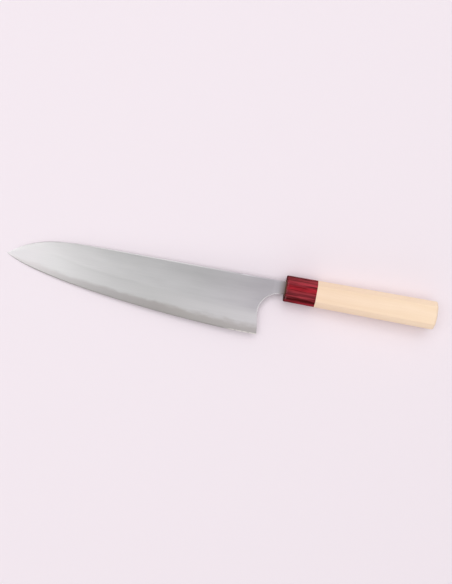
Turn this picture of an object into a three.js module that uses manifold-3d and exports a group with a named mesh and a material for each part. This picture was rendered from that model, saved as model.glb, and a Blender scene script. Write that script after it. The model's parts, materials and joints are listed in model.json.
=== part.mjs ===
// A gyuto, the Japanese chef's knife: a three-layer blade in an octagonal handle of two woods, at rest on a table.
// Millimetres, +Z up. Each piece is drawn in the knife's own frame and the whole knife is then laid on the table:
// +X runs from the tip to the butt, +Y from the edge to the spine and +Z out of the front cheek,
// from the middle of the ferrule's front face.
import * as THREE from "three";
import { ConvexHull } from "three/addons/math/ConvexHull.js";
import { mergeVertices } from "three/addons/utils/BufferGeometryUtils.js";
import Module from "manifold-3d";

const wasm = await Module();
wasm.setup();

// Blade outline
const BLADE_LENGTH = 240; // heel to tip, along the handle
const BLADE_HEIGHT = 53.3; // edge to spine at the heel
const SPINE_HEIGHT = 6.3; // spine above the handle's axis
const TIP_DROP = 20.2; // tip below the spine
const EDGE_FLAT = 8; // straight edge ahead of the heel
const TIP_SWEEP = 90; // stretch over which the spine bends down to the tip
const EDGE_TIP_ANGLE = 31; // degrees, edge at the tip
const SPINE_TIP_ANGLE = 38.5; // degrees, spine at the tip
const HEEL_SETBACK = 19.2; // ferrule to heel
const HEEL_LEAN = 2.8; // the back of the heel leans towards the tip
const CHOIL_RADIUS = 20; // round between the heel and the neck
const NECK_HEIGHT = 12.1;
const NECK_FLAT = 9; // flat stretch of neck ahead of the ferrule

// Blade thickness
const NECK_THICKNESS = 3.2;
const SPINE_THICKNESS = 3; // at the neck
const SPINE_TIP_THICKNESS = 1.3;
const SPINE_EASE = 0.3; // broken corners of the spine
const GRIND_HEIGHT = 20.8; // grind line above the edge
const GRIND_THICKNESS = 1.8; // at the neck
const GRIND_TIP_THICKNESS = 1.1;
const CORE_THICKNESS = 0.6;
const CORE_SHOW = 6.5; // height of bare core along the edge
const BEVEL_HEIGHT = 0.7;
const BEVEL_THICKNESS = 0.28;
const WELD_LINE = 0.03; // between the core and each cladding

// Tang
const NECK_REACH = 4; // neck inside the ferrule, up to the tang's shoulders
const TANG_LENGTH = 95; // from the ferrule's front face
const TANG_HEIGHT = 9;
const TANG_END_HEIGHT = 5;
const TANG_GAP = 0.3; // round the tang in its slot

// Handle
const HANDLE_LENGTH = 143.4;
const FRONT_HEIGHT = 24.4;
const BUTT_HEIGHT = 26.4;
const BUTT_THICKNESS = 22.6;
const OCTAGON_BEVEL = 5.1; // leg of the four slanting flats
const FERRULE_LENGTH = 28.4;
const FERRULE_CHAMFER = 0.8;
const BUTT_ROUND = 2.6;
const FERRULE_WALL = 2.3; // thinnest wood round the bore, at the front
const DOWEL_WALL = 1.1; // wood outside the corners of the tang's slot
const DOWEL_END = 54; // from the ferrule's front face
const SEAL_DEPTH = 1.4;
const GLUE_LINE = 0.2; // between glued pieces

// Shape of the two long curves: reach of each end's tangent as a share of the curve's own span
const BELLY_PULL = 0.24;
const EDGE_TIP_PULL = 0.17;
const SWEEP_PULL = 0.52;
const SPINE_TIP_PULL = 0.33;

// Fineness of the facets
const BLADE_STATIONS = 60;
const STATION_CROWDING = 1.5; // above 1, stations crowd towards the tip
const CURVE_STEPS = 200;
const BORE_SIDES = 48;
const CHOIL_STEPS = 24;
const BUTT_STEPS = 4;

const CUT_MARGIN = 10; // how far a cutter reaches past what it cuts

const steel = { metalness: 1, density: 7.8 };
const FINISH = {
  core: { ...steel, color: 0xb2b0ad, roughness: 0.32 },
  cladding: { ...steel, color: 0xc4c4c6, roughness: 0.42 },
  redwood: { color: 0x8c2d37, roughness: 0.4, metalness: 0, density: 1.3 },
  palewood: { color: 0xfae0c5, roughness: 0.7, metalness: 0, density: 0.5 },
  dowelwood: { color: 0xdcb88a, roughness: 0.75, metalness: 0, density: 0.6 },
  resin: { color: 0x6a4a34, roughness: 0.35, metalness: 0, density: 1.1 },
};

const heelX = -HEEL_SETBACK;
const heelY = SPINE_HEIGHT - BLADE_HEIGHT;
const tipX = heelX - BLADE_LENGTH;
const tipY = SPINE_HEIGHT - TIP_DROP;
const neckBottom = SPINE_HEIGHT - NECK_HEIGHT;
const slotReach = Math.max(SPINE_HEIGHT, -neckBottom) + TANG_GAP;
const slotThickness = NECK_THICKNESS + 2 * TANG_GAP;
const dowelRadius = Math.hypot(slotReach, slotThickness / 2) + DOWEL_WALL;
const boreRadius = dowelRadius + GLUE_LINE;
const frontThickness = 2 * (boreRadius + FERRULE_WALL);
const { lerp, degToRad } = THREE.MathUtils;

const knife = new THREE.Group();

// Solids and meshes

function solid(geometry) {
  geometry.deleteAttribute("normal");
  geometry.deleteAttribute("uv");
  const merged = mergeVertices(geometry);
  const vertProperties = Float32Array.from(merged.attributes.position.array);
  const triVerts = Uint32Array.from(merged.index.array);
  return new wasm.Manifold(new wasm.Mesh({ numProp: 3, vertProperties, triVerts }));
}

function addPiece(name, piece, { density, ...look }) {
  const { vertProperties, triVerts } = piece.getMesh();
  const geometry = new THREE.BufferGeometry();
  geometry.setAttribute("position", new THREE.BufferAttribute(vertProperties, 3));
  geometry.setIndex(new THREE.BufferAttribute(triVerts, 1));
  geometry.computeVertexNormals();
  const mesh = new THREE.Mesh(geometry, new THREE.MeshStandardMaterial({ ...look, flatShading: true }));
  mesh.name = name;
  mesh.userData.density = density;
  knife.add(mesh);
}

// A solid through rings of points that follow one another along +X, each counter-clockwise seen from +X.
// It starts in a point at the nose, if one is given, and otherwise in a flat end.
function loft(rings, nose) {
  const count = rings[0].length;
  const points = rings.flat();
  const faces = [];
  const last = points.length - count;
  for (let first = 0; first < last; first += count) {
    for (let i = 0; i < count; i++) {
      const a = first + i;
      const b = first + ((i + 1) % count);
      faces.push(a, b, a + count, b, b + count, a + count);
    }
  }
  for (let i = 1; i + 1 < count; i++) {
    faces.push(last, last + i, last + i + 1);
    if (!nose) faces.push(0, i + 1, i);
  }
  if (nose) {
    const tip = points.push(nose) - 1;
    for (let i = 0; i < count; i++) faces.push(tip, (i + 1) % count, i);
  }
  return solid(new THREE.BufferGeometry().setFromPoints(points).setIndex(faces));
}

// A flat plate of the given outline, centred on the blade's middle plane.
function plate(shape, thickness) {
  const options = { depth: thickness, curveSegments: CHOIL_STEPS, bevelEnabled: false };
  const geometry = new THREE.ExtrudeGeometry(shape, options);
  return solid(geometry.translate(0, 0, -thickness / 2));
}

function roundBar(radius, fromX, toX) {
  const geometry = new THREE.CylinderGeometry(radius, radius, toX - fromX, BORE_SIDES);
  return solid(geometry.rotateZ(Math.PI / 2).translate((fromX + toX) / 2, 0, 0));
}

// Everything between two heights above the blade's middle plane, over the whole knife.
function layer(fromZ, toZ) {
  const fromX = tipX - CUT_MARGIN;
  const toX = HANDLE_LENGTH + CUT_MARGIN;
  const width = 2 * (BLADE_HEIGHT + CUT_MARGIN);
  const geometry = new THREE.BoxGeometry(toX - fromX, width, toZ - fromZ);
  return solid(geometry.translate((fromX + toX) / 2, 0, (fromZ + toZ) / 2));
}

// Blade

function edgeCurve() {
  const startX = heelX - EDGE_FLAT;
  const span = startX - tipX;
  const angle = degToRad(EDGE_TIP_ANGLE);
  const reach = EDGE_TIP_PULL * span;
  const path = new THREE.Path().moveTo(0, heelY).lineTo(startX, heelY);
  const bendX = tipX + reach * Math.cos(angle);
  const bendY = tipY - reach * Math.sin(angle);
  return path.bezierCurveTo(startX - BELLY_PULL * span, heelY, bendX, bendY, tipX, tipY);
}

function spineCurve() {
  const startX = tipX + TIP_SWEEP;
  const angle = degToRad(SPINE_TIP_ANGLE);
  const reach = SPINE_TIP_PULL * TIP_SWEEP;
  const path = new THREE.Path().moveTo(0, SPINE_HEIGHT).lineTo(startX, SPINE_HEIGHT);
  const bendX = tipX + reach * Math.cos(angle);
  const bendY = tipY + reach * Math.sin(angle);
  return path.bezierCurveTo(startX - SWEEP_PULL * TIP_SWEEP, SPINE_HEIGHT, bendX, bendY, tipX, tipY);
}

// Height of a curve that runs from the ferrule to the tip, at one distance along the knife.
function heightAt(points, x) {
  const next = Math.max(1, points.findIndex((point) => point.x <= x));
  const from = points[next - 1];
  const to = points[next];
  return lerp(from.y, to.y, (x - from.x) / (to.x - from.x));
}

// Cross-section at one distance along the blade: bevel, bare core, wide bevel, flat, eased spine.
function bladeRing(x, edgeY, spineY) {
  const along = x / tipX;
  const nearTip = Math.min(1, (spineY - edgeY) / (GRIND_HEIGHT + CORE_SHOW));
  const thinning = Math.sqrt(nearTip);
  const spine = (thinning * lerp(SPINE_THICKNESS, SPINE_TIP_THICKNESS, along)) / 2;
  const grind = (thinning * lerp(GRIND_THICKNESS, GRIND_TIP_THICKNESS, along)) / 2;
  const core = (thinning * (CORE_THICKNESS + WELD_LINE)) / 2;
  const bevel = (thinning * BEVEL_THICKNESS) / 2;
  const ease = nearTip * SPINE_EASE;
  const side = [
    [edgeY + nearTip * BEVEL_HEIGHT, bevel],
    [edgeY + nearTip * CORE_SHOW, core],
    [edgeY + nearTip * GRIND_HEIGHT, grind],
    [spineY - ease, spine],
    [spineY, spine - ease],
  ];
  const back = side.map(([y, z]) => new THREE.Vector3(x, y, -z));
  const front = side.map(([y, z]) => new THREE.Vector3(x, y, z)).reverse();
  return [new THREE.Vector3(x, edgeY, 0), ...back, ...front];
}

function groundBlade() {
  const edge = edgeCurve().getPoints(CURVE_STEPS);
  const spine = spineCurve().getPoints(CURVE_STEPS);
  const rings = [];
  for (let i = 1; i <= BLADE_STATIONS; i++) {
    const x = tipX * (1 - (i / BLADE_STATIONS) ** STATION_CROWDING);
    rings.push(bladeRing(x, heightAt(edge, x), heightAt(spine, x)));
  }
  return loft(rings, new THREE.Vector3(tipX, tipY, 0));
}

// What is cut away behind the heel and under the neck.
function choilShape() {
  const backX = heelX - HEEL_LEAN;
  const belowY = heelY - CUT_MARGIN;
  const shape = new THREE.Shape().moveTo(heelX, heelY);
  shape.lineTo(backX, neckBottom - CHOIL_RADIUS);
  shape.absarc(backX + CHOIL_RADIUS, neckBottom - CHOIL_RADIUS, CHOIL_RADIUS, Math.PI, Math.PI / 2, true);
  shape.lineTo(CUT_MARGIN, neckBottom).lineTo(CUT_MARGIN, belowY).lineTo(heelX, belowY);
  return shape;
}

// Neck and tang, or with a gap all round, the slot that takes them.
function tangShape(gap) {
  const shoulderX = NECK_REACH + gap;
  const endX = TANG_LENGTH + gap;
  const top = TANG_HEIGHT / 2 + gap;
  const endTop = TANG_END_HEIGHT / 2 + gap;
  const shape = new THREE.Shape().moveTo(-NECK_FLAT, SPINE_HEIGHT + gap).lineTo(-NECK_FLAT, neckBottom - gap);
  shape.lineTo(shoulderX, neckBottom - gap).lineTo(shoulderX, -top).lineTo(endX, -endTop);
  shape.lineTo(endX, endTop).lineTo(shoulderX, top).lineTo(shoulderX, SPINE_HEIGHT + gap);
  return shape;
}

function addBlade() {
  const choil = plate(choilShape(), NECK_THICKNESS + 2 * CUT_MARGIN);
  const blade = groundBlade().subtract(choil).add(plate(tangShape(0), NECK_THICKNESS));
  const coreTop = CORE_THICKNESS / 2;
  const claddingFrom = coreTop + WELD_LINE;
  const claddingTo = NECK_THICKNESS + CUT_MARGIN;
  addPiece("core_steel", blade.intersect(layer(-coreTop, coreTop)), FINISH.core);
  addPiece("front_cladding", blade.intersect(layer(claddingFrom, claddingTo)), FINISH.cladding);
  addPiece("back_cladding", blade.intersect(layer(-claddingTo, -claddingFrom)), FINISH.cladding);
}

// Handle

// The handle's octagon at one distance from the ferrule's front face, drawn in all round by an inset.
function octagon(x, inset = 0) {
  const along = x / HANDLE_LENGTH;
  const y = lerp(FRONT_HEIGHT, BUTT_HEIGHT, along) / 2 - inset;
  const z = lerp(frontThickness, BUTT_THICKNESS, along) / 2 - inset;
  const bevel = OCTAGON_BEVEL - (2 - Math.SQRT2) * inset;
  const corners = [
    [y, bevel - z], [y, z - bevel], [y - bevel, z], [bevel - y, z],
    [-y, z - bevel], [-y, bevel - z], [bevel - y, -z], [y - bevel, -z],
  ];
  return corners.map(([cornerY, cornerZ]) => new THREE.Vector3(x, cornerY, cornerZ));
}

function addFerrule() {
  const bar = loft([octagon(0, FERRULE_CHAMFER), octagon(FERRULE_CHAMFER), octagon(FERRULE_LENGTH)]);
  const bore = roundBar(boreRadius, -CUT_MARGIN, FERRULE_LENGTH + CUT_MARGIN);
  addPiece("ferrule", bar.subtract(bore), FINISH.redwood);
}

function addHandleBody(slot) {
  const frontX = FERRULE_LENGTH + GLUE_LINE;
  const rings = [octagon(frontX)];
  for (let i = 0; i <= BUTT_STEPS; i++) {
    const turn = (i / BUTT_STEPS) * (Math.PI / 2);
    const x = HANDLE_LENGTH - BUTT_ROUND * (1 - Math.sin(turn));
    rings.push(octagon(x, BUTT_ROUND * (1 - Math.cos(turn))));
  }
  const socket = roundBar(boreRadius, frontX - CUT_MARGIN, DOWEL_END + GLUE_LINE);
  addPiece("handle_body", loft(rings).subtract(socket).subtract(slot), FINISH.palewood);
}

function addDowel(slot) {
  const dowel = roundBar(dowelRadius, SEAL_DEPTH + GLUE_LINE, DOWEL_END).subtract(slot);
  const splitZ = GLUE_LINE / 2;
  addPiece("front_dowel_half", dowel.intersect(layer(splitZ, 2 * dowelRadius)), FINISH.dowelwood);
  addPiece("back_dowel_half", dowel.intersect(layer(-2 * dowelRadius, -splitZ)), FINISH.dowelwood);
}

function addSeal(slot) {
  addPiece("tang_seal", roundBar(dowelRadius, 0, SEAL_DEPTH).subtract(slot), FINISH.resin);
}

// Rest on the table

function centreOfMass(meshes) {
  const centre = new THREE.Vector3();
  const corners = [new THREE.Vector3(), new THREE.Vector3(), new THREE.Vector3()];
  let mass = 0;
  for (const mesh of meshes) {
    const { attributes, index } = mesh.geometry;
    for (let i = 0; i < index.count; i += 3) {
      corners.forEach((corner, k) => corner.fromBufferAttribute(attributes.position, index.getX(i + k)));
      const [a, b, c] = corners;
      const share = mesh.userData.density * a.dot(b.clone().cross(c));
      mass += share;
      corners.forEach((corner) => centre.addScaledVector(corner, share / 4));
    }
  }
  return centre.divideScalar(mass);
}

// Lies on the face of the convex hull that the centre of mass stands over, back cheek down,
// with the handle along X and the origin under the middle.
function layOnTable(group) {
  const up = new THREE.Vector3(0, 0, 1);
  const balance = centreOfMass(group.children);
  const standsOver = (face) => {
    const corners = [face.getEdge(0), face.getEdge(1), face.getEdge(2)].map((edge) => edge.head().point);
    const foot = balance.clone().addScaledVector(face.normal, -face.distanceToPoint(balance));
    return new THREE.Triangle(...corners).containsPoint(foot);
  };
  const faces = new ConvexHull().setFromObject(group).faces.filter(standsOver);
  const lowest = faces.reduce((a, b) => (a.normal.z < b.normal.z ? a : b));
  group.quaternion.setFromUnitVectors(lowest.normal, up.clone().negate());
  const heading = new THREE.Vector3(1, 0, 0).applyQuaternion(group.quaternion);
  const turn = new THREE.Quaternion().setFromAxisAngle(up, -Math.atan2(heading.y, heading.x));
  group.quaternion.premultiply(turn);
  const box = new THREE.Box3().setFromObject(group, true);
  const middle = box.getCenter(new THREE.Vector3());
  group.position.set(-middle.x, -middle.y, -box.min.z);
}

const tangSlot = plate(tangShape(TANG_GAP), slotThickness);
addBlade();
addFerrule();
addHandleBody(tangSlot);
addDowel(tangSlot);
addSeal(tangSlot);
layOnTable(knife);

const part = new THREE.Group();
part.add(knife);
export default part;
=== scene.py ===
"""The looks of a gyuto: a three-layer blade in an octagonal handle of pale wood with a dark red ferrule.

Metres. Each piece is drawn in the knife's own frame: +X from the tip to the butt, +Y from the edge to
the spine, +Z out of the front cheek, from the middle of the ferrule's front face.
"""
import json
import math

import bmesh
import bpy
import numpy as np
from mathutils import Matrix, Vector


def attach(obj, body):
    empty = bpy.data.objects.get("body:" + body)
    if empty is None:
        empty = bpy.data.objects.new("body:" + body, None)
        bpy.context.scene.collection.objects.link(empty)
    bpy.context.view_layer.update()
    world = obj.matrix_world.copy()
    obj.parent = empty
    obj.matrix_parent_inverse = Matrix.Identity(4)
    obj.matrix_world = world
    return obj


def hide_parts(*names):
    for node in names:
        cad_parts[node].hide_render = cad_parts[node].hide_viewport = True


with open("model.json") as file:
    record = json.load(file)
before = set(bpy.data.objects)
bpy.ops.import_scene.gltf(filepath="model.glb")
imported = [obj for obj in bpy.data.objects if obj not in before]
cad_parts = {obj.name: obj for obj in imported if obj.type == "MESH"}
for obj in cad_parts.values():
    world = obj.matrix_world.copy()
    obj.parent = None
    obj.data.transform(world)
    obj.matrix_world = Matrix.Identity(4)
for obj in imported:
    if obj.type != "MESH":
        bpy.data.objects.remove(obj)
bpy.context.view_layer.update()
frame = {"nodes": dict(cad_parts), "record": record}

MM = 0.001

# Blade outline
BLADE_LENGTH = 240 * MM  # heel to tip, along the handle
BLADE_HEIGHT = 53.3 * MM  # edge to spine at the heel
SPINE_HEIGHT = 6.3 * MM  # spine above the handle's axis
TIP_DROP = 20.2 * MM  # tip below the spine
EDGE_FLAT = 8 * MM  # straight edge ahead of the heel
TIP_SWEEP = 90 * MM  # stretch over which the spine bends down to the tip
EDGE_TIP_ANGLE = math.radians(31)
SPINE_TIP_ANGLE = math.radians(38.5)
HEEL_SETBACK = 19.2 * MM  # ferrule to heel
HEEL_LEAN = 2.8 * MM  # the back of the heel leans towards the tip
CHOIL_RADIUS = 20 * MM  # round between the heel and the neck
NECK_HEIGHT = 12.1 * MM
NECK_FLAT = 9 * MM  # flat stretch of neck ahead of the ferrule
BELLY_PULL = 0.24  # how far the curves' bends reach, as shares of their lengths
EDGE_TIP_PULL = 0.17
SWEEP_PULL = 0.52
SPINE_TIP_PULL = 0.33

# Blade thickness
NECK_THICKNESS = 3.2 * MM
SPINE_THICKNESS = 3 * MM  # at the neck
SPINE_TIP_THICKNESS = 1.3 * MM
GRIND_HEIGHT = 20.8 * MM  # ridge above the edge
GRIND_THICKNESS = 1.8 * MM  # at the neck
GRIND_TIP_THICKNESS = 1.1 * MM
CORE_THICKNESS = 0.6 * MM
CORE_SHOW = 6.5 * MM  # height of bare core along the edge
BEVEL_HEIGHT = 0.7 * MM
BEVEL_THICKNESS = 0.28 * MM
WELD_LINE = 0.03 * MM  # between the core and each cladding
FEATHER = 0.97  # share of the height that the core keeps where the cladding runs out over it
SPINE_ROUND = 0.6 * MM
CHOIL_ROUND = 0.5 * MM
ROUND_SHARE = 0.6  # the most of the half thickness that a rounding takes away
ROUND_ROWS_SHARE = 0.3  # the most of the cladding's height that the rows of the spine's rounding take
NECK_BLEND = 8 * MM  # stretch over which the cheek runs out into the flat neck
WAVES = (  # height, length and start of each wave in the line where the core shows
    (1.8 * MM, 420 * MM, 2.84),
    (0.30 * MM, 61 * MM, 0.4),
    (0.25 * MM, 23 * MM, 2.1),
    (0.15 * MM, 9.5 * MM, 4.0),
)
WAVE_REACH = 9 * MM  # how far above the lamination line its waves bend the mesh

# Blade finish, with painted shade and painted highlights
CORE_BLUR = (1.8 * MM, 3.6 * MM)  # half width of the haze over that line, in front and at the heel
CORE_BLUR_STRETCH = (-140 * MM, -50 * MM)  # where the haze widens
CORE_HAZE = (-1.3, 0.9)  # lower and upper end of the haze, in half widths
CORE_RAGGED = (-0.45, 0.05)  # how far it strays, in half widths
CORE_SHADE = 7 * MM  # height over the edge up to which the core gets lighter
CHEEK_PAINTED_SHADE = (30 * MM, 44 * MM)  # heights over the edge between which painted shade darkens the cheek towards the spine
RIDGE_BLEND = 5 * MM  # half width of the change of tone at the ridge
LINE_HEIGHT = (19.0 * MM, 20.2 * MM)  # the grinder's line over the edge, near the tip and further back
LINE_RISE = (0.35, 0.6)  # shares of the blade's length between which it rises
LINE_WANDER = 0.35 * MM  # how far it strays up and down
LINE_REACH = (-8 * MM, 4 * MM)  # how far below and above it its painted shade and painted highlight reach
NECK_PAINTED_LIGHT_STRETCH = 12 * MM  # stretch of neck over which a painted glint gives way to painted shade and a painted reddish reflection of the ferrule
HONED_FADE = (0.8, 1.5)  # shares of the cutting bevel's height between which its painted shade and glints end
GLINT_FLECK_START = (0.86, 0.92)  # shares of the blade's length between which the edge's painted glints set in
CHOIL_SHINE = (0.8, 1.25)  # shares of its rounding between which the choil's polish and painted highlight end
SPINE_SHINE = (0.6, 1.1)  # the same for the spine
SPINE_GLOSS = 0.6  # strength of the spine's polish and painted highlight, with the choil's at 1
ARC_POLISH_HIGHLIGHT = (-34 * MM, -23 * MM)  # heights between which the choil's polish and painted highlight set in
NECK_POLISH_HIGHLIGHT = (-9 * MM, -3 * MM)  # places between which it fades under the neck
SPINE_POLISH_HIGHLIGHT = (-95 * MM, -45 * MM)  # places between which the spine's fades
LEAST_SHARE = 0.01  # keeps heights that are measured in shares finite at the tip
CORE_ROUGHNESS = 0.40
CLADDING_ROUGHNESS = 0.29
HAIRLINE_ROUGHNESS = 0.05  # what the hairlines add
POLISH_SMOOTHNESS = 0.1  # what the polish takes away

# Tang
NECK_REACH = 4 * MM  # neck inside the ferrule, up to the tang's shoulders
SHOULDER_ROUND = 0.4 * MM
TANG_LENGTH = 95 * MM  # from the ferrule's front face
TANG_HEIGHT = 9 * MM
TANG_END_HEIGHT = 5 * MM
TANG_GAP = 0.3 * MM  # round the tang in its slot

# Handle
HANDLE_LENGTH = 143.4 * MM
FRONT_HEIGHT = 24.4 * MM
BUTT_HEIGHT = 26.4 * MM
BUTT_THICKNESS = 22.6 * MM
FRONT_BEVEL = 5.1 * MM  # leg of the four slanting flats
BUTT_BEVEL = 4.4 * MM
FERRULE_LENGTH = 28.4 * MM
FERRULE_EDGE = 0.4 * MM
BUTT_ROUND = 2.6 * MM
BUTT_BOW = 1.3 * MM  # how far the end falls back towards edge and spine
BUTT_DOME = 0.4 * MM  # and towards front and back
FERRULE_WALL = 2.3 * MM  # thinnest wood round the bore, at the front
DOWEL_WALL = 1.1 * MM  # wood outside the corners of the tang's slot
DOWEL_END = 54 * MM  # from the ferrule's front face
SEAL_DEPTH = 1.4 * MM
SEAL_CLIMB = 0.35 * MM  # how far the resin creeps out along the neck
SEAL_HUG = 0.025 * MM  # gap between the resin and the neck
GLUE_LINE = 0.2 * MM  # between glued pieces
FACET_ROUND = 1.3 * MM  # sanded corners between the flats
JOINT_EDGE = 0.05 * MM  # broken edges where ferrule and handle meet
JOINT_GAP = 0.03 * MM

# Handle finish, with painted shade and painted highlights
LAYER_WANDER = 0.4 * MM  # how far the red wood's layers stray
FRONT_SHADE = 14 * MM  # stretch of the ferrule that is darker towards its front, with painted shade on the front face itself
RIM_WEAR_HIGHLIGHT = 2 * MM  # stretch over which the wear and painted highlight of its front edge fade
FACE_EDGE = (0.2 * MM, 1.0 * MM)  # places between which the front face's dullness ends
FACE_DULLNESS = 0.45  # roughness that the front face has more than the flats
PITH = (-22 * MM, -31 * MM)  # middle of the pale wood's growth rings, outside the handle
HALF_RINGS = 0.45 / MM  # half growth rings in a metre
RING_WARP = 5.0  # half rings by which a slow noise bends them
PALE_STRETCH = (40 * MM, 130 * MM)  # places between which the handle gets paler

# Fineness of the meshes
BLADE_COLUMNS = 170
TIP_CROWDING = 1.35  # above 1, columns crowd towards the tip
HEEL_COLUMNS = 34
NECK_COLUMNS = 4
TANG_COLUMNS = 8
CORE_ROWS = 9
CHOIL_ROWS = 34
NECK_ROWS = 12
ROUND_STEPS = 6
CORNER_STEPS = 6
FLAT_STEPS = 6
CURVE_STEPS = 240
HANDLE_RINGS = 12
DOME_RINGS = 4
MERGE = 0.0002 * MM
SHARP = math.radians(35)  # corners sharper than this stay sharp in the shading

# Picture
PICTURE = (452, 584)  # pixels
PIXEL = 0.929 * MM  # what one pixel covers at the blade
PICTURE_MIDDLE = (-53.9 * MM, -13.3 * MM)  # the knife's point in the middle of the picture
KNIFE_SLOPE = math.radians(10.39)  # fall of the handle to the right
CAMERA_ELEVATION = math.radians(90.5)
CAMERA_LEAN = math.radians(4.8)  # the camera stands a little towards the tip
CAMERA_DISTANCE = 1.1
SENSOR = 36  # millimetres, along the picture's long side

# Light and floor, with each softbox's place, target, size and power in watts
WORLD_SEEN = 0.86  # what the camera and the steel see of the world
WORLD_LIGHT = 0.40
TOP_LIGHT = 1.42  # strength of the soft light from above
TOP_LIGHT_WIDTH = math.radians(60)  # how wide it looks from the floor
TOP_LIGHT_LEAN = math.radians(6)  # how far it stands towards the spine
BACK_LIGHT = {"place": (0.15, 0.86, 1.25), "target": (0, 0, 0), "size": (1.2, 0.8), "power": 2.4}
FRONT_LIGHT = {"place": (0.1, -4.4, 2.0), "target": (0.1, 0, 0), "size": (4.8, 2.0), "power": 19}
TIP_LIGHT = {"place": (-0.62, -0.06, 1.1), "target": (-0.2, 0, 0), "size": (0.4, 0.5), "power": 1.2}
FLOOR_REACH = 20.0
FLOOR_COLOUR = (0.885, 0.80, 0.855, 1)
FLOOR_ROUGHNESS = 0.8

# Places that follow from these sizes
HEEL_X = -HEEL_SETBACK
HEEL_Y = SPINE_HEIGHT - BLADE_HEIGHT
TIP_X = HEEL_X - BLADE_LENGTH
TIP_Y = SPINE_HEIGHT - TIP_DROP
NECK_BOTTOM = SPINE_HEIGHT - NECK_HEIGHT
CHOIL_X = HEEL_X - HEEL_LEAN + CHOIL_RADIUS
CHOIL_Y = NECK_BOTTOM - CHOIL_RADIUS
PATCH_X = -50 * MM  # from here to the choil the mesh's columns bend into the choil's curve
PATCH_NECK_Y = -5 * MM  # where the row to the neck's lower corner starts
SLOT_REACH = max(SPINE_HEIGHT, -NECK_BOTTOM) + TANG_GAP
SLOT_THICKNESS = NECK_THICKNESS + 2 * TANG_GAP
DOWEL_RADIUS = math.hypot(SLOT_REACH, SLOT_THICKNESS / 2) + DOWEL_WALL
BORE_RADIUS = DOWEL_RADIUS + GLUE_LINE
FRONT_THICKNESS = 2 * (BORE_RADIUS + FERRULE_WALL)


def knife_frame():
    """The knife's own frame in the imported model, from the mount on the end of its handle."""
    butt = next(mount for mount in frame["record"]["mounts"] if mount["name"] == "butt_face")
    lengthwise = Vector(butt["axis"]).normalized()
    upward = Vector((0, 1, 0))
    outward = lengthwise.cross(upward)
    origin = Vector(butt["pos_m"]) - HANDLE_LENGTH * lengthwise
    return Matrix.Translation(origin) @ Matrix((lengthwise, upward, outward)).transposed().to_4x4()


KNIFE = knife_frame()


# Meshes


def add_piece(name, points, faces, material, slot, replaced):
    """A piece of the knife that stands for CAD nodes, with clean normals and soft shading."""
    mesh = bpy.data.meshes.new(name)
    mesh.from_pydata(np.asarray(points).tolist(), [], faces)
    body = bmesh.new()
    body.from_mesh(mesh)
    bmesh.ops.remove_doubles(body, verts=body.verts, dist=MERGE)
    bmesh.ops.recalc_face_normals(body, faces=body.faces)
    if body.calc_volume(signed=True) < 0:
        bmesh.ops.reverse_faces(body, faces=body.faces)
    body.to_mesh(mesh)
    body.free()
    mesh.shade_smooth()
    mesh.set_sharp_from_angle(angle=SHARP)
    mesh.materials.append(material)
    piece = bpy.data.objects.new(name, mesh)
    bpy.context.scene.collection.objects.link(piece)
    piece.matrix_world = KNIFE
    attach(piece, "root")
    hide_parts(*replaced)
    return piece


def grid_faces(columns, rows):
    """Quads over a sheet of points that is stored column by column."""
    return [
        (i * rows + j, (i + 1) * rows + j, (i + 1) * rows + j + 1, i * rows + j + 1)
        for i in range(columns - 1)
        for j in range(rows - 1)
    ]


def shell(front, back, faces):
    """Points and faces of a closed body between two sheets with the same faces, joined at their rims."""
    count = len(front)
    edges = {(face[k - 1], face[k]) for face in faces for k in range(len(face))}
    rim = [(b, a, a + count, b + count) for a, b in edges if (b, a) not in edges]
    behind = [tuple(corner + count for corner in reversed(face)) for face in faces]
    return np.vstack([front, back]), faces + behind + sorted(rim)


def loft(rings, closed=False):
    """Points and faces through rings of equal count. An open loft ends in the middle of its end rings."""
    count = len(rings[0])
    points = np.vstack(rings)
    total = len(points)
    faces = []
    for first in range(0, total if closed else total - count, count):
        following = (first + count) % total
        for i in range(count):
            j = (i + 1) % count
            faces.append((first + i, first + j, following + j, following + i))
    if not closed:
        points = np.vstack([points, rings[0].mean(axis=0), rings[-1].mean(axis=0)])
        for i in range(count):
            j = (i + 1) % count
            faces.append((total, j, i))
            faces.append((total + 1, total - count + i, total - count + j))
    return points, faces


def bezier(start, start_bend, end_bend, end):
    t = np.linspace(0, 1, CURVE_STEPS)[:, None]
    corners = [np.array(point) for point in (start, start_bend, end_bend, end)]
    weights = [(1 - t) ** 3, 3 * t * (1 - t) ** 2, 3 * t**2 * (1 - t), t**3]
    return sum(weight * corner for weight, corner in zip(weights, corners))


# Blade


def edge_curve():
    start = HEEL_X - EDGE_FLAT
    span = start - TIP_X
    reach = EDGE_TIP_PULL * span
    bend = (TIP_X + reach * math.cos(EDGE_TIP_ANGLE), TIP_Y - reach * math.sin(EDGE_TIP_ANGLE))
    belly = bezier((TIP_X, TIP_Y), bend, (start - BELLY_PULL * span, HEEL_Y), (start, HEEL_Y))
    return np.vstack([belly, (0, HEEL_Y)])


def spine_curve():
    start = TIP_X + TIP_SWEEP
    reach = SPINE_TIP_PULL * TIP_SWEEP
    bend = (TIP_X + reach * math.cos(SPINE_TIP_ANGLE), TIP_Y + reach * math.sin(SPINE_TIP_ANGLE))
    level_bend = (start - SWEEP_PULL * TIP_SWEEP, SPINE_HEIGHT)
    sweep = bezier((TIP_X, TIP_Y), bend, level_bend, (start, SPINE_HEIGHT))
    return np.vstack([sweep, (0, SPINE_HEIGHT)])


EDGE = edge_curve()
SPINE = spine_curve()


def edge_height(x):
    return np.interp(x, EDGE[:, 0], EDGE[:, 1])


def spine_height(x):
    return np.interp(x, SPINE[:, 0], SPINE[:, 1])


def near_tip(x):
    """1 over most of the blade, falling to 0 where edge and spine meet."""
    return np.clip((spine_height(x) - edge_height(x)) / (GRIND_HEIGHT + CORE_SHOW), 0, 1)


def smooth_step(low, high, value):
    share = np.clip((value - low) / (high - low), 0, 1)
    return share * share * (3 - 2 * share)


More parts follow.
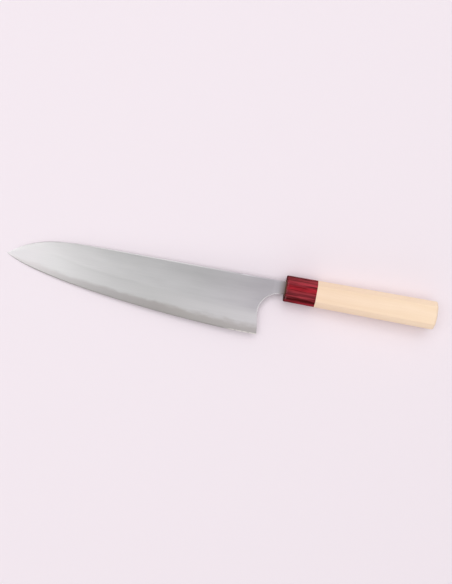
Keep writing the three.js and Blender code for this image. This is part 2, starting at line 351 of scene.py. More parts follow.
def half_thickness(x, y):
    """Half of the ground blade's thickness: cutting bevel, bare core, wide bevel, cheek, flat neck."""
    above_edge = y - edge_height(x)
    height = np.maximum(spine_height(x) - edge_height(x), MERGE)
    share = near_tip(x)
    along = np.clip(x / TIP_X, 0, 1)
    levels = [0 * share, share * BEVEL_HEIGHT, share * CORE_SHOW, share * GRIND_HEIGHT, height]
    widths = [
        0 * along,
        BEVEL_THICKNESS + 0 * along,
        CORE_THICKNESS + 0 * along,
        GRIND_THICKNESS + (GRIND_TIP_THICKNESS - GRIND_THICKNESS) * along,
        SPINE_THICKNESS + (SPINE_TIP_THICKNESS - SPINE_THICKNESS) * along,
    ]
    width = 0 * along
    for k in range(1, len(levels)):
        step = np.maximum(levels[k] - levels[k - 1], MERGE)
        rise = np.clip((above_edge - levels[k - 1]) / step, 0, 1)
        width = width + (widths[k] - widths[k - 1]) * rise
    width = width * np.sqrt(share)
    neck = smooth_step(-NECK_FLAT - NECK_BLEND, -NECK_FLAT, x)
    return (width + (NECK_THICKNESS - width) * neck) / 2


def core_half(x):
    """Half of the core's thickness between the claddings."""
    return np.sqrt(near_tip(x)) * CORE_THICKNESS / 2


def choil_distance(x, y):
    """How far a point of the blade lies from the edge line of the choil and the neck."""
    lean = HEEL_LEAN * (y - HEEL_Y) / (CHOIL_Y - HEEL_Y)
    straight = HEEL_X - lean - x
    curved = np.hypot(x - CHOIL_X, y - CHOIL_Y) - CHOIL_RADIUS
    under_neck = y - NECK_BOTTOM
    return np.where(y < CHOIL_Y, straight, np.where(x < CHOIL_X, curved, under_neck))


def spine_distance(x, y):
    return spine_height(x) - y


def rounding(distance, radius):
    """How far a rounded corner falls below the flat, at a distance from the corner's outline."""
    radius = np.maximum(radius, MERGE)
    inside = np.clip(1 - distance / radius, 0, 1)
    return radius * (1 - np.sqrt(1 - inside**2))


def outer_height(x, y):
    """Height of the front surface over the blade's middle plane, with spine and choil rounded over."""
    flat = half_thickness(x, y)
    room = np.minimum(np.abs(flat - core_half(x)), ROUND_SHARE * flat)
    fall = rounding(spine_distance(x, y), np.minimum(SPINE_ROUND, room))
    fall = np.maximum(fall, rounding(choil_distance(x, y), np.minimum(CHOIL_ROUND, room)))
    return flat - fall


def rounded_stops(length, radius, steps):
    """Distances from 0 to length that crowd together over a corner rounding at the far end."""
    turn = np.linspace(0, math.pi / 2, ROUND_STEPS + 1)[1:]
    return np.concatenate([np.linspace(0, length - radius, steps), length - radius * (1 - np.sin(turn))])


def core_shares():
    """The mesh's rows over the bare core, as shares of its height, with one on the top of the bevel."""
    return np.concatenate([[0], np.linspace(BEVEL_HEIGHT / CORE_SHOW, 1, CORE_ROWS - 1)])


def blade_rows(x):
    """Heights of the mesh's rows in the columns that cross the blade upright, from edge to spine."""
    edge, spine = edge_height(x), spine_height(x)
    core = edge + core_shares() * near_tip(x) * CORE_SHOW
    clad = spine - core[-1]
    radius = min(SPINE_ROUND, ROUND_ROWS_SHARE * clad)
    stops = rounded_stops(1, radius / max(clad, MERGE), NECK_ROWS)
    turn = (PATCH_NECK_Y - HEEL_Y - CORE_SHOW) / (SPINE_HEIGHT - HEEL_Y - CORE_SHOW)
    shares = np.concatenate([np.linspace(0, turn, CHOIL_ROWS), turn + (1 - turn) * stops[1:]])
    return np.concatenate([core, core[-1] + shares[1:] * clad])


def choil_path(count):
    """Points up the back of the heel from the lamination line, round the choil and on to the ferrule."""
    start_y = HEEL_Y + CORE_SHOW
    lean = HEEL_LEAN * CORE_SHOW / (CHOIL_Y - HEEL_Y)
    turn = np.linspace(math.pi, math.pi / 2, CURVE_STEPS)
    arc = np.column_stack([CHOIL_X + CHOIL_RADIUS * np.cos(turn), CHOIL_Y + CHOIL_RADIUS * np.sin(turn)])
    path = np.vstack([(HEEL_X - lean, start_y), arc, (0, NECK_BOTTOM)])
    walked = np.concatenate([[0], np.cumsum(np.linalg.norm(np.diff(path, axis=0), axis=1))])
    stops = np.linspace(0, walked[-1], count)
    return np.column_stack([np.interp(stops, walked, path[:, k]) for k in (0, 1)])


def heel_column():
    """The mesh's last column: up the back of the heel, round the choil, up the neck at the ferrule."""
    choil = choil_path(CHOIL_ROWS)
    corner = np.array([HEEL_X, HEEL_Y])
    heel = corner + core_shares()[:, None] * (choil[0] - corner)
    neck = NECK_BOTTOM + rounded_stops(NECK_HEIGHT, SPINE_ROUND, NECK_ROWS)[1:]
    return np.vstack([heel, choil[1:], np.column_stack([0 * neck, neck])])


def blade_grid():
    """The blade's outline as a sheet of points, column by column from the tip to the ferrule."""
    stations = np.linspace(0, 1, BLADE_COLUMNS) ** TIP_CROWDING
    columns = []
    for x in TIP_X + (PATCH_X - TIP_X) * stations:
        rows = blade_rows(x)
        columns.append(np.column_stack([np.full(len(rows), x), rows]))
    left = columns[-1]
    right = heel_column()
    for share in rounded_stops(1, CHOIL_ROUND / (HEEL_X - PATCH_X), HEEL_COLUMNS)[1:]:
        column = left + share * (right - left)
        column[:CORE_ROWS, 1] = edge_height(column[:CORE_ROWS, 0]) + core_shares() * CORE_SHOW
        columns.append(column)
    return columns


def tang_columns(neck):
    """The neck's column carried on into the handle, stepped down to the tapering tang."""
    shares = (neck[:, 1] - NECK_BOTTOM) / NECK_HEIGHT
    columns = []
    for x in np.linspace(0, NECK_REACH, NECK_COLUMNS)[1:]:
        columns.append(np.column_stack([np.full(len(neck), x), neck[:, 1]]))
    for along in np.linspace(0, 1, TANG_COLUMNS):
        x = NECK_REACH + SHOULDER_ROUND + along * (TANG_LENGTH - NECK_REACH - SHOULDER_ROUND)
        height = TANG_HEIGHT + (TANG_END_HEIGHT - TANG_HEIGHT) * along
        columns.append(np.column_stack([np.full(len(neck), x), (shares - 0.5) * height]))
    return columns


def wave(x):
    """How far the lamination line strays from its even height."""
    waves = [size * np.sin(2 * math.pi * x / length + turn) for size, length, turn in WAVES]
    return near_tip(x) * sum(waves)


def wave_shift(x, y):
    """How far a point of the blade moves up or down with the waves of the lamination line."""
    lamination = edge_height(x) + near_tip(x) * CORE_SHOW
    below = np.clip((y - edge_height(x)) / np.maximum(lamination - edge_height(x), MERGE), 0, 1)
    above = np.clip(1 - (y - lamination) / WAVE_REACH, 0, 1)
    return wave(x) * np.where(y < lamination, below, above) * (x < 0)


def blade_sheet():
    """Points, faces and row numbers of the sheet that all three layers of the blade share."""
    columns = blade_grid()
    rows = len(columns[0])
    corner = CORE_ROWS + CHOIL_ROWS - 2
    tang = tang_columns(columns[-1][corner:])
    tang_rows = rows - corner
    main = np.vstack(columns)
    points = np.vstack([main, *tang])
    blade_row = np.tile(np.arange(rows), len(columns))
    tang_row = np.tile(np.arange(corner, rows), len(tang))
    faces = grid_faces(len(columns), rows)
    first = len(main) - tang_rows
    faces += [tuple(first + k for k in face) for face in grid_faces(len(tang) + 1, tang_rows)]
    points[:, 1] += wave_shift(*points.T)
    return points, faces, np.concatenate([blade_row, tang_row])


def mark_blade(piece):
    """Gives each vertex its heights over the edge and the lamination line, and its polish with its painted
    highlight.
    """
    mesh = piece.data
    x, y, _ = np.array([vertex.co for vertex in mesh.vertices]).T
    share = near_tip(x)
    above_edge = y - edge_height(x)
    blur = CORE_BLUR[0] + smooth_step(*CORE_BLUR_STRETCH, x) * (CORE_BLUR[1] - CORE_BLUR[0])
    # polish with a painted highlight on the choil, faded out under the neck
    choil = 1 - smooth_step(*CHOIL_SHINE, choil_distance(x, y) / CHOIL_ROUND)
    choil = choil * smooth_step(*ARC_POLISH_HIGHLIGHT, y) * (1 - smooth_step(*NECK_POLISH_HIGHLIGHT, x))
    spine = 1 - smooth_step(*SPINE_SHINE, spine_distance(x, y) / SPINE_ROUND)
    spine = spine * share * (1 - smooth_step(*SPINE_POLISH_HIGHLIGHT, x))
    marks = {
        "above_edge": above_edge / np.maximum(share, LEAST_SHARE),
        "above_core": (above_edge - share * CORE_SHOW - wave(x)) / blur,
        "polish_and_highlight": np.maximum(choil, SPINE_GLOSS * spine),
    }
    for name, values in marks.items():
        mark = mesh.attributes.new(name, "FLOAT", "POINT")
        mark.data.foreach_set("value", values.astype(np.float32))


def add_blade(core_material, cladding_material):
    sheet, faces, row = blade_sheet()
    x, y = sheet.T
    last_core = CORE_ROWS - 1
    bare = row <= last_core
    outer = np.where(x < NECK_REACH, outer_height(x, y), half_thickness(x, y))
    inner = np.where(bare, outer, np.minimum(core_half(x), FEATHER * outer))
    weld = WELD_LINE * np.clip((y - edge_height(x)) / CORE_SHOW - 1, 0, 1)
    core = np.where(bare, outer, inner - weld)
    front = np.column_stack([sheet, core])
    back = np.column_stack([sheet, -core])
    mark_blade(add_piece("blade_core", *shell(front, back, faces), core_material, "core", ["core_steel"]))
    clad_faces = [face for face in faces if min(row[list(face)]) >= last_core]
    kept = sorted({corner for face in clad_faces for corner in face})
    number = {corner: k for k, corner in enumerate(kept)}
    clad_faces = [tuple(number[corner] for corner in face) for face in clad_faces]
    for side, name in ((1, "front_cladding"), (-1, "back_cladding")):
        outside = np.column_stack([sheet, side * outer])[kept]
        inside = np.column_stack([sheet, side * inner])[kept]
        body = shell(outside, inside, clad_faces)
        mark_blade(add_piece("blade_" + name, *body, cladding_material, "cladding", [name]))


# Handle


def rounded_octagon(x, inset=0.0):
    """The handle's section at a distance from the ferrule's front face, drawn in all round by an inset."""
    along = x / HANDLE_LENGTH
    y = (FRONT_HEIGHT + (BUTT_HEIGHT - FRONT_HEIGHT) * along) / 2 - inset
    z = (FRONT_THICKNESS + (BUTT_THICKNESS - FRONT_THICKNESS) * along) / 2 - inset
    bevel = FRONT_BEVEL + (BUTT_BEVEL - FRONT_BEVEL) * along - (2 - math.sqrt(2)) * inset
    quarter = [(y, z - bevel), (y - bevel, z)]
    half = quarter + [(-across, up) for across, up in reversed(quarter)]
    corners = np.array(half + [(-across, -up) for across, up in half])
    turn = math.pi / 4
    reach = FACET_ROUND * math.tan(turn / 2)
    angles = np.linspace(0, turn, CORNER_STEPS)[:, None]
    arcs = []
    for k, corner in enumerate(corners):
        heading = corner - corners[k - 1]
        heading = heading / np.linalg.norm(heading)
        inward = np.array([-heading[1], heading[0]])
        middle = corner - reach * heading + FACET_ROUND * inward
        arcs.append(middle + FACET_ROUND * (np.sin(angles) * heading - np.cos(angles) * inward))
    flats = [np.linspace(arcs[k - 1][-1], arcs[k][0], FLAT_STEPS + 1)[1:-1] for k in range(len(arcs))]
    points = np.vstack([part for pair in zip(flats, arcs) for part in pair])
    return np.column_stack([np.full(len(points), x), points])


def round_ring(x, radius, like):
    """A circle round the handle's axis with its points in line with another ring's."""
    angle = np.arctan2(like[:, 2], like[:, 1])
    return np.column_stack([np.full(len(like), x), radius * np.cos(angle), radius * np.sin(angle)])


def slot_ring(x, height, thickness, like):
    """A rectangle round the handle's axis with its points in line with another ring's."""
    angle = np.arctan2(like[:, 2], like[:, 1])
    reach = 1 / np.maximum(np.abs(np.cos(angle)) * 2 / height, np.abs(np.sin(angle)) * 2 / thickness)
    return np.column_stack([np.full(len(like), x), reach * np.cos(angle), reach * np.sin(angle)])


def quarter_turn(steps):
    return np.linspace(0, math.pi / 2, steps)


def add_ferrule(material):
    rings = []
    for turn in quarter_turn(CORNER_STEPS):
        inset = FERRULE_EDGE * (1 - math.sin(turn))
        rings.append(rounded_octagon(FERRULE_EDGE * (1 - math.cos(turn)), inset))
    rings.append(rounded_octagon(FERRULE_LENGTH - JOINT_EDGE))
    rings.append(rounded_octagon(FERRULE_LENGTH, JOINT_EDGE))
    rings.append(round_ring(FERRULE_LENGTH, BORE_RADIUS, rings[0]))
    rings.append(round_ring(0, BORE_RADIUS, rings[0]))
    add_piece("ferrule_collar", *loft(rings, closed=True), material, "redwood", ["ferrule"])


def butt_end(ring):
    """Where the domed end of the handle lies behind each point of a ring."""
    across = 2 * ring[:, 1] / BUTT_HEIGHT
    upward = 2 * ring[:, 2] / BUTT_THICKNESS
    return HANDLE_LENGTH - BUTT_BOW * across**2 - BUTT_DOME * upward**2


def add_handle(material):
    front = FERRULE_LENGTH + JOINT_GAP
    like = rounded_octagon(front)
    slot_end = TANG_LENGTH + TANG_GAP
    socket_end = DOWEL_END + GLUE_LINE
    rings = [
        slot_ring(slot_end, TANG_END_HEIGHT + 2 * TANG_GAP, SLOT_THICKNESS, like),
        slot_ring(socket_end, TANG_HEIGHT + 2 * TANG_GAP, SLOT_THICKNESS, like),
        round_ring(socket_end, BORE_RADIUS, like),
        round_ring(front, BORE_RADIUS, like),
        rounded_octagon(front, JOINT_EDGE),
    ]
    round_start = HANDLE_LENGTH - BUTT_DOME - BUTT_ROUND
    rings += [rounded_octagon(x) for x in np.linspace(front + JOINT_EDGE, round_start, HANDLE_RINGS)]
    for turn in quarter_turn(2 * CORNER_STEPS)[1:]:
        ring = rounded_octagon(round_start, BUTT_ROUND * (1 - math.cos(turn)))
        ring[:, 0] += math.sin(turn) * (butt_end(ring) - round_start)
        rings.append(ring)
    last = rings[-1]
    for k in range(1, DOME_RINGS + 1):
        size = 1 - k / (DOME_RINGS + 1)
        ring = last * (1, size, size)
        ring[:, 0] = butt_end(ring)
        rings.append(ring)
    add_piece("handle_grip", *loft(rings), material, "palewood", ["handle_body"])


def add_seal(material):
    """The resin plug in the ferrule's mouth, which creeps out along the neck in a small fillet."""
    like = rounded_octagon(0)
    neck_middle = np.array([0, SPINE_HEIGHT - NECK_HEIGHT / 2, 0])
    rings = [
        round_ring(SEAL_DEPTH, DOWEL_RADIUS, like),
        round_ring(JOINT_EDGE, DOWEL_RADIUS, like),
        round_ring(0, DOWEL_RADIUS - JOINT_EDGE, like),
    ]
    gaps = {
        0: TANG_GAP + SEAL_CLIMB,
        -SEAL_CLIMB / 3: TANG_GAP,
        -SEAL_CLIMB: SEAL_HUG,
        SEAL_DEPTH: SEAL_HUG,
    }
    for x, gap in gaps.items():
        rings.append(slot_ring(x, NECK_HEIGHT + 2 * gap, NECK_THICKNESS + 2 * gap, like) + neck_middle)
    add_piece("neck_seal", *loft(rings, closed=True), material, "resin", ["tang_seal"])


# Material nodes

NOISE_RANGE = (0.3, 0.7)  # where most of a noise's values lie
WHITE = (1, 1, 1, 1)


def plug(tree, value, socket):
    if isinstance(value, bpy.types.NodeSocket):
        tree.links.new(value, socket)
    else:
        socket.default_value = value


def node(tree, kind, inputs=None, **settings):
    made = tree.nodes.new("ShaderNode" + kind)
    for name, value in settings.items():
        setattr(made, name, value)
    for name, value in (inputs or {}).items():
        plug(tree, value, made.inputs[name])
    return made


def new_material(name, sockets=None):
    material = bpy.data.materials.new(name)
    material.use_nodes = True
    shader = material.node_tree.nodes["Principled BSDF"]
    for socket, value in (sockets or {}).items():
        shader.inputs[socket].default_value = value
    return material, material.node_tree, shader


def plug_surface(tree, shader, colour, roughness, normal):
    plug(tree, colour, shader.inputs["Base Color"])
    plug(tree, roughness, shader.inputs["Roughness"])
    plug(tree, normal, shader.inputs["Normal"])


def object_place(tree):
    return node(tree, "TexCoord").outputs["Object"]


def coordinate(tree, axis):
    """One of the knife's own coordinates."""
    return node(tree, "SeparateXYZ", {"Vector": object_place(tree)}).outputs[axis]


def noise(tree, per_mm, detail=3.0, roughness=0.55, distortion=0.0):
    """Noise whose waves per millimetre are given for each axis."""
    scale = [waves / MM for waves in per_mm]
    stretched = node(tree, "Mapping", {"Vector": object_place(tree), "Scale": scale}).outputs["Vector"]
    inputs = {"Vector": stretched, "Scale": 1.0, "Detail": detail}
    inputs |= {"Roughness": roughness, "Distortion": distortion}
    return node(tree, "TexNoise", inputs).outputs["Fac"]


def ramp(tree, factor, *stops):
    """A colour ramp through (place, colour) stops."""
    made = node(tree, "ValToRGB", {"Fac": factor})
    elements = made.color_ramp.elements
    while len(elements) < len(stops):
        elements.new(0.5)
    for element, (position, colour) in zip(elements, stops):
        element.position = position
        element.color = (*colour, 1)
    return made.outputs["Color"]


def spread(tree, value, low, high, to_low=0.0, to_high=1.0):
    """A value's range carried over to another range, with soft ends."""
    inputs = {"Value": value, "From Min": low, "From Max": high, "To Min": to_low, "To Max": to_high}
    return node(tree, "MapRange", inputs, interpolation_type="SMOOTHSTEP").outputs["Result"]


def between(tree, value, low, high):
    """A value's range carried over to 0 to 1, in a straight line."""
    return node(tree, "MapRange", {"Value": value, "From Min": low, "From Max": high}).outputs["Result"]


def mixed(tree, factor, first, second, blend="MIX"):
    """Two colours mixed, by the sockets that the Mix node has for colours."""
    made = node(tree, "Mix", data_type="RGBA", blend_type=blend)
    for number, value in {0: factor, 6: first, 7: second}.items():
        plug(tree, value, made.inputs[number])
    return made.outputs[2]


def shaded(tree, colour, shade):
    return mixed(tree, 1.0, colour, shade, blend="MULTIPLY")


def arithmetic(tree, operation, first, second):
    made = node(tree, "Math", operation=operation)
    plug(tree, first, made.inputs[0])
    plug(tree, second, made.inputs[1])
    return made.outputs[0]


def bump(tree, height, strength, distance):
    inputs = {"Height": height, "Strength": strength, "Distance": distance}
    return node(tree, "Bump", inputs).outputs["Normal"]


def attribute(tree, name):
    return node(tree, "Attribute", attribute_name=name).outputs["Fac"]


def grey(value):
    return (value, value, value)


# Steel


def grinder_line_and_painted_light(tree, along, height):
    """The soft line that the grinder left below the ridge, darkest in the blade's front half: partly the
    line itself, partly painted shade under it and a painted highlight just above it.
    """
    wander = spread(tree, noise(tree, (0.03, 0.03, 0.03)), *NOISE_RANGE, -LINE_WANDER, LINE_WANDER)
    level = arithmetic(tree, "ADD", spread(tree, along, *LINE_RISE, *LINE_HEIGHT), wander)
    away = between(tree, arithmetic(tree, "SUBTRACT", height, level), *LINE_REACH)
    profile = ramp(
        tree,
        away,
        (0.0, grey(1.0)),
        (0.5, grey(0.97)),
        (0.66, grey(0.93)),
        # painted highlight just above the line
        (0.84, grey(1.02)),
        (1.0, grey(1.0)),
    )
    strength = ramp(tree, along, (0.12, grey(0)), (0.26, grey(0.8)), (0.45, grey(1)), (0.6, grey(0.3)))
    return mixed(tree, strength, WHITE, profile)


def cheek_colour(tree, along, height):
    """Grey above the ridge, cooler towards the heel, with painted shade that darkens it towards the spine.
    """
    tone = ramp(
        tree,
        along,
        (0.2, (0.567, 0.554, 0.559)),
        (0.42, (0.555, 0.548, 0.552)),
        (0.75, (0.558, 0.547, 0.558)),
        (0.92, (0.575, 0.55, 0.578)),
        (1.0, (0.548, 0.517, 0.553)),
    )
    clouds = noise(tree, (0.02, 0.09, 0.09))
    tone = shaded(tree, tone, ramp(tree, clouds, (0.3, grey(0.95)), (0.7, grey(1.04))))
    # painted shade, darker towards the spine
    to_spine = between(tree, height, *CHEEK_PAINTED_SHADE)
    return shaded(tree, tone, ramp(tree, to_spine, (0.0, grey(1.0)), (1.0, grey(0.86))))


def bevel_colour(tree, along):
    """The wide bevel's haze below the ridge, palest towards the heel."""
    return ramp(
        tree,
        along,
        (0.0, (0.495, 0.479, 0.49)),
        (0.1, (0.559, 0.537, 0.549)),
        (0.2, (0.58, 0.569, 0.573)),
        (0.42, (0.55, 0.542, 0.545)),
        (0.58, (0.558, 0.55, 0.553)),
        (0.75, (0.62, 0.603, 0.614)),
        (1.0, (0.69, 0.66, 0.685)),
    )


def core_colour(tree, along, height):
    """Darker and warmer than the cladding, least so near the tip, and darkest at the edge."""
    tone = ramp(
        tree,
        along,
        (0.12, (0.595, 0.565, 0.572)),
        (0.2, (0.53, 0.508, 0.51)),
        (0.33, (0.45, 0.43, 0.43)),
        (0.42, (0.42, 0.40, 0.40)),
        (0.6, (0.395, 0.37, 0.365)),
        (0.72, (0.435, 0.41, 0.40)),
        (1.0, (0.49, 0.455, 0.455)),
    )
    from_edge = between(tree, height, 0, CORE_SHADE)
    return shaded(tree, tone, ramp(tree, from_edge, (0.0, grey(0.92)), (1.0, grey(1.03))))


def honed_edge_painted_light(tree, along):
    """The cutting bevel: painted shade over most of the edge, with painted glints in flecks near the heel.
    """
    painted_edge_shade = (0.34, 0.32, 0.31, 1)
    painted_edge_glint = (0.86, 0.81, 0.78, 1)
    glint_flecks = spread(tree, noise(tree, (0.35, 0.1, 0.1)), 0.25, 0.6)
    share = arithmetic(tree, "MULTIPLY", glint_flecks, spread(tree, along, *GLINT_FLECK_START))
    return mixed(tree, share, painted_edge_shade, painted_edge_glint)


def neck_painted_light(tree):
    """A painted glint where the cheek runs out into the neck, and painted shade with a painted reddish
    reflection of the ferrule next to the ferrule.
    """
    along = between(tree, coordinate(tree, "X"), -NECK_PAINTED_LIGHT_STRETCH, 0)
    return ramp(
        tree,
        along,
        (0.0, grey(1.0)),
        (0.16, grey(1.07)),
        (0.45, grey(1.0)),
        (0.67, (0.80, 0.77, 0.75)),
        (0.9, (0.66, 0.57, 0.53)),
    )


def steel_colour(tree, clad, painted_edge):
    """Colour of the ground blade, where clad is 1 on the claddings and 0 on the bare core."""
    along = between(tree, coordinate(tree, "X"), TIP_X, HEEL_X)
    height = attribute(tree, "above_edge")
    ridge = spread(tree, height, GRIND_HEIGHT - RIDGE_BLEND, GRIND_HEIGHT + RIDGE_BLEND)
    colour = mixed(tree, ridge, bevel_colour(tree, along), cheek_colour(tree, along, height))
    # the grinder's line, with painted shade and a painted highlight
    colour = shaded(tree, colour, grinder_line_and_painted_light(tree, along, height))
    # painted glint on the neck, and painted shade and reflection next to the ferrule
    colour = shaded(tree, colour, neck_painted_light(tree))
    colour = mixed(tree, clad, core_colour(tree, along, height), colour)
    # painted shade and glints on the cutting bevel
    if painted_edge:
        low, high = [share * BEVEL_HEIGHT for share in HONED_FADE]
        bevel = spread(tree, height, low, high, 1.0, 0.0)
        colour = mixed(tree, bevel, colour, honed_edge_painted_light(tree, along))
    return colour


def ground_steel(name, painted_edge):
    """Ground steel with hairlines along the blade, hazy where the core shows, and polished with a painted
    highlight on the choil and spine.
    """
    polished_highlight = (0.78, 0.77, 0.77, 1)
    material, tree, shader = new_material(name, {"Metallic": 1.0})
    ragged = spread(tree, noise(tree, (0.11, 0.3, 0.3), detail=2), *NOISE_RANGE, *CORE_RAGGED)
    clad = spread(tree, arithmetic(tree, "ADD", attribute(tree, "above_core"), ragged), *CORE_HAZE)
    hairlines = noise(tree, (0.02, 4.0, 4.0), detail=4)
    scratches = ramp(tree, hairlines, (0.35, grey(0.95)), (0.65, grey(1.01)))
    colour = shaded(tree, steel_colour(tree, clad, painted_edge), scratches)
    polish_and_highlight = attribute(tree, "polish_and_highlight")
    # painted highlight where the choil and spine are polished
    colour = mixed(tree, polish_and_highlight, colour, polished_highlight)
    satin = spread(tree, clad, 0.0, 1.0, CORE_ROUGHNESS, CLADDING_ROUGHNESS)
    satin = arithmetic(tree, "ADD", satin, spread(tree, hairlines, *NOISE_RANGE, 0.0, HAIRLINE_ROUGHNESS))
    smoothness = arithmetic(tree, "MULTIPLY", polish_and_highlight, POLISH_SMOOTHNESS)
    roughness = arithmetic(tree, "SUBTRACT", satin, smoothness)
    plug_surface(tree, shader, colour, roughness, bump(tree, hairlines, 0.08, 0.02 * MM))
    return material


# Wood and resin


def red_layers(tree):
    """The red wood's layers from the edge side to the spine side, bright red to near black, with a painted
    highlight line where the wide flat meets the slanting flat on the spine side.
    """
    highlight_pink = (0.43, 0.042, 0.06)
    red = (0.36, 0.018, 0.029)
    deep = (0.24, 0.014, 0.023)
    brown = (0.28, 0.032, 0.041)
    dull = (0.165, 0.018, 0.025)
    black = (0.07, 0.001, 0.002)
    wander = spread(tree, noise(tree, (0.06, 0.15, 0.15)), *NOISE_RANGE, -LAYER_WANDER, LAYER_WANDER)
    height = arithmetic(tree, "ADD", coordinate(tree, "Y"), wander)
    across = between(tree, height, -FRONT_HEIGHT / 2, FRONT_HEIGHT / 2)
    return ramp(
        tree,
        across,
        (0.08, deep),
        (0.12, black),
        (0.16, black),
        (0.21, brown),
        (0.26, brown),
        (0.30, dull),
        (0.36, dull),
        (0.42, brown),
        (0.50, red),
        (0.62, red),
        (0.68, dull),
        # painted highlight where the wide flat meets the slanting flat on the spine side
        (0.75, highlight_pink),
        (0.81, brown),
        (0.95, brown),
    )


def rim_wear_and_highlight(tree):
    """How worn the ferrule's front edge is, in patches, with a painted highlight there."""
    patches = spread(tree, noise(tree, (0.5, 0.35, 0.35), detail=2), 0.45, 0.6, 0.0, 0.6)
    from_front = between(tree, coordinate(tree, "X"), 0, RIM_WEAR_HIGHLIGHT)
    rim = ramp(tree, from_front, (0.05, grey(0)), (0.2, grey(1)), (1.0, grey(0)))
    return arithmetic(tree, "MULTIPLY", patches, rim)


def red_wood():
    """Resin-soaked wood in lengthwise layers, with dark streaks, painted shade on the front face, and a
    little wear with a painted highlight on the front edge.
    """
    worn_highlight = (0.30, 0.11, 0.12, 1)
    material, tree, shader = new_material("red_laminate", {"Specular IOR Level": 0.05})
    streaks = noise(tree, (0.04, 0.66, 0.66), detail=4, distortion=0.2)
    shade = ramp(
        tree,
        streaks,
        (0.38, grey(0.42)),
        (0.45, grey(0.84)),
        (0.52, grey(1.05)),
        (0.62, grey(1.28)),
    )
    colour = shaded(tree, red_layers(tree), shade)
    from_front = between(tree, coordinate(tree, "X"), 0, FRONT_SHADE)
    # painted shade on the front face, and darker towards the front
    front_darkening_and_face_shade = ramp(tree, from_front, (0.0, grey(0.5)), (0.06, grey(0.8)), (1.0, grey(1.0)))
    colour = shaded(tree, colour, front_darkening_and_face_shade)
    # wear and painted highlight on the front edge
    colour = mixed(tree, rim_wear_and_highlight(tree), colour, worn_highlight)
    dullness = spread(tree, coordinate(tree, "X"), *FACE_EDGE, FACE_DULLNESS, 0.0)
    roughness = arithmetic(tree, "ADD", spread(tree, streaks, *NOISE_RANGE, 0.5, 0.38), dullness)
    plug_surface(tree, shader, colour, roughness, bump(tree, streaks, 0.12, 0.05 * MM))
    return material


def growth_rings(tree):
    """Growth rings about the pith, bent by a slow noise: 0 to 1 and back again over each ring."""
    warp = arithmetic(tree, "MULTIPLY", noise(tree, (0.006, 0.05, 0.05), detail=2), RING_WARP)
    inputs = {"Vector": object_place(tree), "Location": (0, -PITH[0], -PITH[1]), "Scale": (0, 1, 1)}
    from_pith = node(tree, "Mapping", inputs).outputs["Vector"]
    radius = node(tree, "VectorMath", {0: from_pith}, operation="LENGTH").outputs["Value"]
    half_rings = arithmetic(tree, "ADD", arithmetic(tree, "MULTIPLY", radius, HALF_RINGS), warp)
    return arithmetic(tree, "PINGPONG", half_rings, 1.0)


def pale_wood():
    """Close-grained cream wood with faint growth rings and short fine fibres, paler towards its end."""
    material, tree, shader = new_material("pale_magnolia", {"Specular IOR Level": 0.25})
    fibres = noise(tree, (0.05, 3.2, 3.2))
    colour = ramp(tree, growth_rings(tree), (0.1, (0.96, 0.74, 0.55)), (0.95, (0.93, 0.705, 0.51)))
    colour = shaded(tree, colour, ramp(tree, fibres, (0.32, (0.97, 0.955, 0.94)), (0.6, grey(1.0))))
    to_butt = between(tree, coordinate(tree, "X"), *PALE_STRETCH)
    end_shade = ramp(tree, to_butt, (0.0, (0.985, 0.98, 1.0)), (1.0, (1.03, 1.05, 1.07)))
    colour = shaded(tree, colour, end_shade)
    roughness = spread(tree, fibres, *NOISE_RANGE, 0.62, 0.52)
    plug_surface(tree, shader, colour, roughness, bump(tree, fibres, 0.10, 0.04 * MM))
    return material


def dowel_wood():
    material, tree, shader = new_material("turned_dowel")
    fibres = noise(tree, (0.05, 1.8, 1.8), detail=4)
    colour = ramp(tree, fibres, (0.3, (0.58, 0.36, 0.18)), (0.7, (0.74, 0.51, 0.28)))
    roughness = spread(tree, fibres, *NOISE_RANGE, 0.8, 0.65)
    plug_surface(tree, shader, colour, roughness, bump(tree, fibres, 0.2, 0.05 * MM))
    return material


def brown_resin():
    material, tree, shader = new_material("seal_resin", {"Specular IOR Level": 0.08})
    clouds = noise(tree, (0.9, 0.9, 0.9))
    colour = ramp(tree, clouds, (0.3, (0.11, 0.052, 0.026)), (0.7, (0.17, 0.085, 0.042)))
    roughness = spread(tree, clouds, *NOISE_RANGE, 0.6, 0.5)
    plug_surface(tree, shader, colour, roughness, bump(tree, clouds, 0.15, 0.05 * MM))
    return material


# Stage


def seen(tree):
    """1 for rays from the camera, off gloss and through glass, and 0 for those that light a surface."""
    path = node(tree, "LightPath").outputs
    shown = arithmetic(tree, "MAXIMUM", path["Is Camera Ray"], path["Is Glossy Ray"])
    return arithmetic(tree, "MAXIMUM", shown, path["Is Transmission Ray"])


def add_floor():
    corners = [(-1, -1), (1, -1), (1, 1), (-1, 1)]
    mesh = bpy.data.meshes.new("floor")
    mesh.from_pydata([(FLOOR_REACH * x, FLOOR_REACH * y, 0) for x, y in corners], [], [(0, 1, 2, 3)])
    sockets = {"Base Color": FLOOR_COLOUR, "Roughness": FLOOR_ROUGHNESS}
    material, _, _ = new_material("pale_floor", sockets)
    mesh.materials.append(material)
    floor = bpy.data.objects.new("floor", mesh)
    bpy.context.scene.collection.objects.link(floor)


def add_softbox(name, place, target, size, power):
    lamp = bpy.data.lights.new(name, "AREA")
    lamp.shape = "RECTANGLE"
    lamp.size, lamp.size_y = size
    lamp.energy = power
    softbox = bpy.data.objects.new(name, lamp)
    softbox.location = place
    softbox.visible_camera = False
    softbox.rotation_euler = (Vector(target) - Vector(place)).to_track_quat("-Z", "Y").to_euler()
    bpy.context.scene.collection.objects.link(softbox)


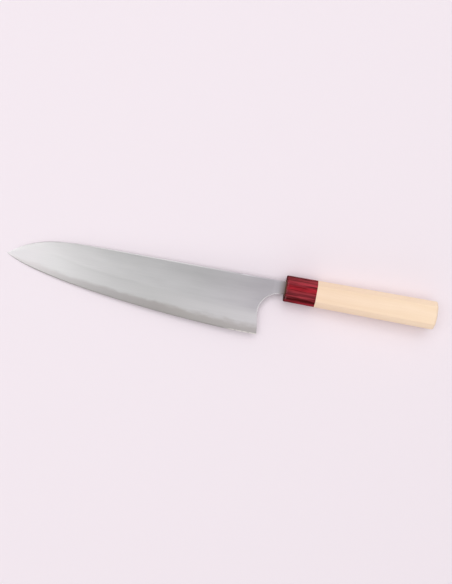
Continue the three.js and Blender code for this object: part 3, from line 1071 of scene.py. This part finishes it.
def add_top_light():
    """Even soft light from above, which the steel doesn't mirror."""
    lamp = bpy.data.lights.new("top_light", "SUN")
    lamp.angle = TOP_LIGHT_WIDTH
    lamp.energy = TOP_LIGHT
    light = bpy.data.objects.new("top_light", lamp)
    light.rotation_euler = (-TOP_LIGHT_LEAN, 0, 0)
    light.visible_glossy = False
    bpy.context.scene.collection.objects.link(light)


def add_light():
    world = bpy.data.worlds.new("studio")
    world.use_nodes = True
    tree = world.node_tree
    background = tree.nodes["Background"]
    background.inputs["Color"].default_value = WHITE
    strength = spread(tree, seen(tree), 0.0, 1.0, WORLD_LIGHT, WORLD_SEEN)
    plug(tree, strength, background.inputs["Strength"])
    bpy.context.scene.world = world
    add_top_light()
    add_softbox("back_softbox", **BACK_LIGHT)
    add_softbox("front_softbox", **FRONT_LIGHT)
    add_softbox("tip_softbox", **TIP_LIGHT)


def add_camera():
    data = bpy.data.cameras.new("camera")
    data.sensor_width = SENSOR
    data.lens = SENSOR * CAMERA_DISTANCE / (max(PICTURE) * PIXEL)
    camera = bpy.data.objects.new("camera", data)
    up = Vector((0, 0, 1))
    level = Vector((-math.sin(KNIFE_SLOPE), math.cos(KNIFE_SLOPE), 0))
    right = Matrix.Rotation(-CAMERA_LEAN, 3, level) @ level.cross(up)
    back = math.sin(CAMERA_ELEVATION) * right.cross(level) - math.cos(CAMERA_ELEVATION) * level
    target = KNIFE @ Vector((*PICTURE_MIDDLE, 0))
    turn = Matrix((right, back.cross(right), back)).transposed()
    camera.matrix_world = Matrix.Translation(target + CAMERA_DISTANCE * back) @ turn.to_4x4()
    bpy.context.scene.collection.objects.link(camera)
    bpy.context.scene.camera = camera


def finish_dowel(material):
    """The dowel's halves keep their CAD shape, hidden in the handle, and get a wood finish."""
    for name in ("front_dowel_half", "back_dowel_half"):
        half = frame["nodes"][name]
        half.data.materials.clear()
        half.data.materials.append(material)


add_blade(ground_steel("hard_core", painted_edge=True), ground_steel("satin_cladding", painted_edge=False))
add_ferrule(red_wood())
add_handle(pale_wood())
add_seal(brown_resin())
finish_dowel(dowel_wood())
add_floor()
add_light()
add_camera()
bpy.context.scene.view_settings.view_transform = "Standard"
